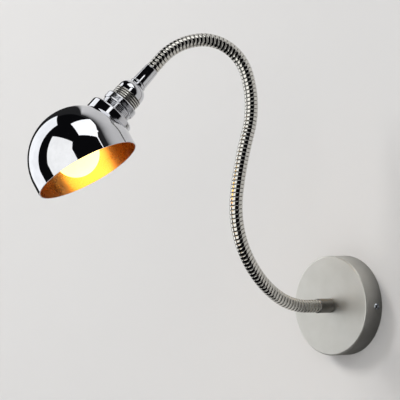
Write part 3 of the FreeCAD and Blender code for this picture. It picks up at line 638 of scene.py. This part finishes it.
def makeSkirt():
    h = holder
    rib = [(h["skirtRoot"] + (h["skirtRadius"] - h["skirtRoot"]) * rise, share)
           for rise, share in threadShape]
    bm = wound(rib, h["threadPitch"], h["skirtBore"], h["skirtFoot"], h["skirtTop"], 96, 2)
    # groove depth, which the wound steel finish turns into painted shade
    markGrooves(bm, h["skirtRoot"], h["skirtRadius"])
    skirt = newPiece(put(bm, onHolder()), "threadedSkirt", [steel], 50.0)
    mounted(skirt, "head", ["holder_skirt"])


def makeCap():
    h = holder
    rise, run = h["capHeight"] - h["capStraight"], h["capRadius"] - h["capTop"]
    swell = (rise ** 2 + run ** 2) / (2 * run)
    foot = h["skirtTop"] + h["capStraight"]
    sweep = math.asin(rise / swell)
    dome = [(h["capRadius"] - swell * (1 - math.cos(sweep * i / 14)),
             foot + swell * math.sin(sweep * i / 14)) for i in range(1, 15)]
    under, top = h["skirtTop"] - h["capSpigot"], h["skirtTop"] + h["capHeight"]
    wall = h["capWall"]
    turnedPiece("holderCapSpun", [
        (h["capInner"] - wall, under), (h["capInner"], under), (h["capInner"], h["skirtTop"]),
        (h["capRadius"], h["skirtTop"], 0.5), (h["capRadius"], foot), *dome[:-1],
        (h["capTop"], top, 0.5), (h["nippleHole"], top), (h["nippleHole"], top - wall),
        (h["capTop"] - wall, top - wall), (h["capInner"] - wall, foot),
    ], onHolder(), chrome, "head", ["holder_cap"], 128)
    turnedPiece("lockCollarTurned", [
        (h["nippleHole"], top), (h["lockRadius"], top, h["lockEdge"]),
        (h["lockRadius"], top + h["lockThick"], h["lockEdge"]),
        (h["nippleHole"], top + h["lockThick"]),
    ], onHolder(), chrome, "head", ["lock_collar"])
    f = ferrules
    turnedPiece("upperFerruleTurned", ferruleOutline(
        f["upperRadius"], f["upperTip"], f["upperBarrel"], f["upperLength"]),
        onHolder(top + h["lockThick"]), chrome, "head", ["upper_ferrule"])


makeRings()
makeSkirt()
makeCap()
print("lampholder made")


def domeForm(radius, foot):
    arc = [math.pi / 2 * i / 48 for i in range(49)]
    outline = [(0, -foot), (radius, -foot), *[(radius * math.cos(a), radius * math.sin(a))
                                            for a in arc[:-1]], (0, radius)]
    bm = lathe(outline, shade["steps"], closed=False)
    bmesh.ops.transform(bm, matrix=Matrix.Translation(domeMiddle) @ domeTurn, verts=bm.verts)
    return newPiece(bm, "domeForm", [chrome])


def drumForm(radius, low, high, edge=0.0):
    corner = (radius, high, edge) if edge else (radius, high)
    return newPiece(lathe([(0, low), (radius, low), corner, (0, high)], shade["steps"],
                          closed=False), "drumForm", [chrome])


def slopes(point, faceNormal):
    # the true slope of the ball, its skirt and the neck, and whether the face is inside
    s = shade
    fromBall = point - domeMiddle
    pole = domeTurn.to_3x3() @ Vector((0, 0, 1))
    height = fromBall.dot(pole)
    ball = fromBall if height >= 0 else fromBall - pole * height
    drum = Vector((point.x, point.y, 0))
    for spoke, radius in ((ball, s["radius"]), (drum, s["neckRadius"])):
        for reach, side in ((radius, 1), (radius - s["wall"], -1)):
            true = spoke.normalized() * side
            if (abs(spoke.length - reach) < s["onSurface"]
                    and true.dot(faceNormal) > s["facingAlike"]):
                return true, side < 0
    return None, False


def makeShade():
    s = shade
    wall = s["wall"]
    root = s["neckRoot"] - s["neckReach"]
    form = domeForm(s["radius"], s["skirt"])
    carved(form, drumForm(s["neckRadius"], root, 0, s["neckEdge"]), "UNION")
    carved(form, domeForm(s["radius"] - wall, s["skirt"] + wall))
    carved(form, drumForm(s["neckRadius"] - wall, root, -wall, s["neckEdge"] - wall))
    carved(form, drumForm(s["hole"], -2 * s["neckEdge"], 1))
    bm = bmesh.new()
    bm.from_mesh(form.data)
    bpy.data.objects.remove(form)
    bmesh.ops.remove_doubles(bm, verts=bm.verts, dist=1e-3)
    inside = [slopes(f.calc_center_median(), f.normal)[1] for f in bm.faces]
    for face, hidden in zip(bm.faces, inside):
        face.material_index = 1 if hidden else 0
    piece = newPiece(bm, "shadeShell", [chrome, lacquer], 30.0)
    mesh = piece.data
    smooth = [Vector(corner.vector) for corner in mesh.corner_normals]
    for face in mesh.polygons:
        for loop in face.loop_indices:
            spot = mesh.vertices[mesh.loops[loop].vertex_index].co
            true = slopes(spot, face.normal)[0] if slopes(face.center, face.normal)[0] else None
            if true is not None:
                smooth[loop] = true
    mesh.transform(shadePlace @ Matrix.Scale(toMetres, 4))
    turn = shadePlace.to_3x3()
    mesh.normals_split_custom_set([turn @ n for n in smooth])
    mounted(piece, "shade", ["shade"])


# lamp
lampGlass = {"radius": 22.5, "centre": -54.0, "throat": 8.0, "wall": 0.8, "foot": -19.2,
             "mouth": 6.4, "lip": 1.6}


def makeGlobe():
    # blown bulb: ball and throat, as one shell
    g = lampGlass
    outer, inner = g["radius"], g["radius"] - g["wall"]
    outerStart = math.asin(g["throat"] / outer)
    innerStart = math.asin((g["throat"] - g["wall"]) / inner)
    ball = [(outer * math.sin(a), g["centre"] + outer * math.cos(a))
            for a in (outerStart + (math.pi - outerStart) * i / 48 for i in range(48))]
    hollow = [(inner * math.sin(a), g["centre"] + inner * math.cos(a))
              for a in (innerStart + (math.pi - innerStart) * i / 32 for i in range(32))]
    outline = [(g["mouth"], g["foot"]), (g["throat"], g["foot"] - g["lip"]), *ball,
               (0, g["centre"] - outer)]
    lining = [(g["mouth"] - g["wall"], g["foot"]), (g["throat"] - g["wall"], g["foot"] - g["lip"]),
              *hollow, (0, g["centre"] - inner)]
    bm = lathe([*reversed(lining), *outline], 96, closed=False)
    globe = newPiece(put(bm, onHolder()), "globeGlass", [glow])
    mounted(globe, "head", ["lamp_globe"])


makeShade()
makeGlobe()
print("shade and globe made")


# studio: pale wall and floor, soft lamps, and a dark room that only the metal sees
studio = {"wallLeft": -2600.0, "wallRight": 2600.0, "wallTop": 2600.0, "floor": -620.0,
          "floorOut": -2600.0, "floorBack": 600.0, "room": 5000.0,
          "flagOut": -0.4, "leftClear": -400.0, "leftFull": -470.0, "rightClear": 800.0,
          "rightFull": 2400.0, "rightSlant": (1.0, 0.0, 1.5), "shadowClear": 120.0, "shadowFull": 40.0,
          "shadowMiddle": (15.0, 0.0, -30.0)}
studioMetres = {key: value * toMetres for key, value in studio.items()
                if isinstance(value, float)}
shadeMiddle = Vector((-0.075, -0.285, 0.1425))
cameraPlace = Vector((1.7029, -1.7893, 0.0659))
view = {"azimuth": 47.0, "pitch": 0.939, "lens": 219.6}


def quad(name, corners, material):
    bm = bmesh.new()
    bm.faces.new([bm.verts.new(c) for c in corners])
    mesh = bpy.data.meshes.new(name)
    bm.to_mesh(mesh)
    bm.free()
    mesh.materials.append(material)
    board = bpy.data.objects.new(name, mesh)
    bpy.context.scene.collection.objects.link(board)
    return board


def behindCanopy(tree, place):
    # 1 over the round hole that the canopy covers, where the wall box opens to the back
    reach = addNode(tree, "ShaderNodeVectorMath", {0: place}, operation="LENGTH")
    inside = addNode(tree, "ShaderNodeMath", {
        0: reach.outputs["Value"], 1: (canopy["radius"] - canopy["wall"]) * toMetres},
        operation="LESS_THAN")
    return inside.outputs[0]


def paintedWall():
    # matt emulsion on a wall: seen from behind it isn't there, so that the back can be viewed
    material, tree, place = newMaterial("mattWallPaint")
    face = addNode(tree, "ShaderNodeBsdfDiffuse", {"Color": fromHex("#DEDDDC")})
    gap = addNode(tree, "ShaderNodeBsdfTransparent")
    back = addNode(tree, "ShaderNodeNewGeometry").outputs["Backfacing"]
    unseen = addNode(tree, "ShaderNodeMath", {0: back, 1: behindCanopy(tree, place)},
                     operation="MAXIMUM")
    mixed = addNode(tree, "ShaderNodeMixShader", {
        0: unseen.outputs[0], 1: face.outputs["BSDF"], 2: gap.outputs["BSDF"]})
    addNode(tree, "ShaderNodeOutputMaterial", {"Surface": mixed.outputs["Shader"]})
    return material


def flagAndPaintedShadow():
    # a dark sheet that only the metal sees, painting the wall darker in its reflections: over both ends of the
    # wall, and as a painted shadow round the canopy
    s = studioMetres
    material, tree, place = newMaterial("flagAndPaintedShadow")
    across = addNode(tree, "ShaderNodeSeparateXYZ", {"Vector": place}).outputs["X"]
    upward = addNode(tree, "ShaderNodeVectorMath", {0: place, 1: studio["rightSlant"]},
                     operation="DOT_PRODUCT").outputs["Value"]
    sides = [addNode(tree, "ShaderNodeMapRange", {
        "Value": value, "From Min": s[side + "Clear"], "From Max": s[side + "Full"]},
        interpolation_type="SMOOTHSTEP") for side, value in (("left", across), ("right", upward))]
    ends = addNode(tree, "ShaderNodeMath", {
        0: sides[0].outputs["Result"], 1: sides[1].outputs["Result"]}, operation="MAXIMUM")
    # painted shadow of the canopy on the wall, seen only in reflections, up to 0.85 dark near its middle
    offset = addNode(tree, "ShaderNodeVectorMath", {
        0: place, 1: Vector(studio["shadowMiddle"]) * toMetres}, operation="SUBTRACT")
    reach = addNode(tree, "ShaderNodeVectorMath", {0: offset.outputs[0]}, operation="LENGTH")
    canopyShadow = addNode(tree, "ShaderNodeMapRange", {
        "Value": reach.outputs["Value"], "From Min": s["shadowClear"], "From Max": s["shadowFull"],
        "To Max": 0.85}, interpolation_type="SMOOTHSTEP")
    cover = addNode(tree, "ShaderNodeMath", {
        0: ends.outputs[0], 1: canopyShadow.outputs["Result"]}, operation="MAXIMUM")
    cover = addNode(tree, "ShaderNodeMath", {
        0: cover.outputs[0], 1: behindCanopy(tree, place)}, operation="SUBTRACT", use_clamp=True)
    cloth = addNode(tree, "ShaderNodeEmission", {"Color": fromHex("#2A2A2B")})
    gap = addNode(tree, "ShaderNodeBsdfTransparent")
    mixed = addNode(tree, "ShaderNodeMixShader", {
        0: cover.outputs[0], 1: gap.outputs["BSDF"], 2: cloth.outputs["Emission"]})
    addNode(tree, "ShaderNodeOutputMaterial", {"Surface": mixed.outputs["Shader"]})
    return material


def paleFloor():
    material, tree, _ = newMaterial("paleFloorPaint")
    face = addNode(tree, "ShaderNodeBsdfDiffuse", {"Color": fromHex("#DEDDDC")})
    addNode(tree, "ShaderNodeOutputMaterial", {"Surface": face.outputs["BSDF"]})
    return material


def glowing(name, code, strength):
    material, tree, _ = newMaterial(name)
    face = addNode(tree, "ShaderNodeEmission", {"Color": fromHex(code), "Strength": strength})
    addNode(tree, "ShaderNodeOutputMaterial", {"Surface": face.outputs["Emission"]})
    return material


def onlyInMetal(board):
    board.visible_camera = False
    board.visible_diffuse = False
    board.visible_shadow = False
    board.visible_volume_scatter = False


def around(left, up, reach):
    # direction from the shade by degrees to the left of the camera and over the horizon
    side, rise = math.radians(view["azimuth"] - left), math.radians(up)
    return shadeMiddle + Vector((math.sin(side) * math.cos(rise),
                                 -math.cos(side) * math.cos(rise), math.sin(rise))) * reach


def makeStudio():
    s = studioMetres
    quad("wallBoard", [(s["wallLeft"], 0, s["floor"]), (s["wallRight"], 0, s["floor"]),
                       (s["wallRight"], 0, s["wallTop"]), (s["wallLeft"], 0, s["wallTop"])],
         paintedWall())
    floor = quad("floorBoard", [(s["floorOut"], s["floorOut"], s["floor"]),
                                (s["wallRight"], s["floorOut"], s["floor"]),
                                (s["wallRight"], s["floorBack"], s["floor"]),
                                (s["floorOut"], s["floorBack"], s["floor"])], paleFloor())
    floor.visible_glossy = False
    flag = quad("wallFlag", [(s["wallLeft"], s["flagOut"], s["floor"]),
                             (s["wallRight"], s["flagOut"], s["floor"]),
                             (s["wallRight"], s["flagOut"], s["wallTop"]),
                             (s["wallLeft"], s["flagOut"], s["wallTop"])], flagAndPaintedShadow())
    onlyInMetal(flag)
    room = bmesh.new()
    bmesh.ops.create_cube(room, size=s["room"])
    bmesh.ops.delete(room, geom=[f for f in room.faces if f.normal.y > 0.5], context="FACES")
    mesh = bpy.data.meshes.new("darkRoom")
    room.to_mesh(mesh)
    room.free()
    mesh.materials.append(glowing("darkRoomCloth", "#0E0E10", 1.0))
    box = bpy.data.objects.new("darkRoom", mesh)
    bpy.context.scene.collection.objects.link(box)
    onlyInMetal(box)
    panels = {
        "tallSoftbox": ([(99, -40, 1.15), (150, -19, 2.6), (156, 37, 2.7), (101, 54, 1.55)],
                        "#F6F7F8", 1.5),
        "broadSoftbox": ([(14, -35, 2.2), (70, -40, 2.2), (79, 38, 2.2), (20, 35, 2.2)],
                         "#EDEDEB", 1.65),
        "overheadSoftbox": ([(6, 50, 2.1), (-46, 43, 2.1), (-113, 75, 1.5), (65, 71, 1.5)],
                            "#FFFFFF", 1.65),
    }
    for name, (corners, code, strength) in panels.items():
        board = quad(name, [around(*corner) for corner in corners],
                     glowing(name + "Cloth", code, strength))
        onlyInMetal(board)
    # a narrow strip beside the lampholder, in millimetres of its own frame
    strip = [(-70.0, -94.7, 10.0), (-48.0, -107.6, 10.0), (-45.0, -109.3, 84.0),
             (-73.0, -93.0, 84.0)]
    board = quad("stripSoftbox", [holderPlace @ (Vector(corner) * toMetres) for corner in strip],
                 glowing("stripSoftboxCloth", "#FFFFFF", 1.6))
    onlyInMetal(board)


def addLamp(name, spot, target, size, power, code="#FFFFFF"):
    light = bpy.data.lights.new(name, "AREA")
    light.shape = "SQUARE"
    light.size = size
    light.energy = power
    light.color = fromHex(code)[:3]
    lamp = bpy.data.objects.new(name, light)
    lamp.location = spot
    lamp.rotation_mode = "QUATERNION"
    lamp.rotation_quaternion = (Vector(target) - Vector(spot)).to_track_quat("-Z", "Y")
    lamp.visible_glossy = False
    bpy.context.scene.collection.objects.link(lamp)


def makeLight():
    world = bpy.data.worlds.new("studioAir")
    bpy.context.scene.world = world
    world.use_nodes = True
    # the camera, metal and glass see a paler background than the light it gives
    tree = world.node_tree
    tree.nodes.clear()
    path = addNode(tree, "ShaderNodeLightPath").outputs
    seen = path["Is Camera Ray"]
    for ray in ("Is Glossy Ray", "Is Transmission Ray"):
        seen = addNode(tree, "ShaderNodeMath", {0: seen, 1: path[ray]},
                       operation="MAXIMUM").outputs[0]
    level = addNode(tree, "ShaderNodeMapRange", {"Value": seen, "To Min": 0.5, "To Max": 0.82})
    air = addNode(tree, "ShaderNodeBackground", {
        "Color": fromHex("#EEEEEE"), "Strength": level.outputs["Result"]})
    addNode(tree, "ShaderNodeOutputWorld", {"Surface": air.outputs["Background"]})
    addLamp("keySoftbox", (-1.3, -2.0, 1.5), (-0.1, -0.1, 0.1), 0.8, 39.0)
    addLamp("fillSoftbox", (1.2, -2.2, 0.8), (-0.05, -0.1, 0.1), 1.4, 8.0)


def makeCamera():
    camera = bpy.data.objects.new("camera", bpy.data.cameras.new("camera"))
    side, rise = math.radians(view["azimuth"]), math.radians(view["pitch"])
    ahead = Vector((-math.sin(side) * math.cos(rise), math.cos(side) * math.cos(rise),
                    math.sin(rise)))
    camera.location = cameraPlace
    camera.rotation_mode = "QUATERNION"
    camera.rotation_quaternion = ahead.to_track_quat("-Z", "Y")
    camera.data.lens = view["lens"]
    camera.data.sensor_width = 36.0
    camera.data.clip_end = 20.0
    bpy.context.scene.collection.objects.link(camera)
    bpy.context.scene.camera = camera


makeStudio()
makeLight()
makeCamera()
bpy.context.scene.view_settings.view_transform = "Standard"
print("studio made")
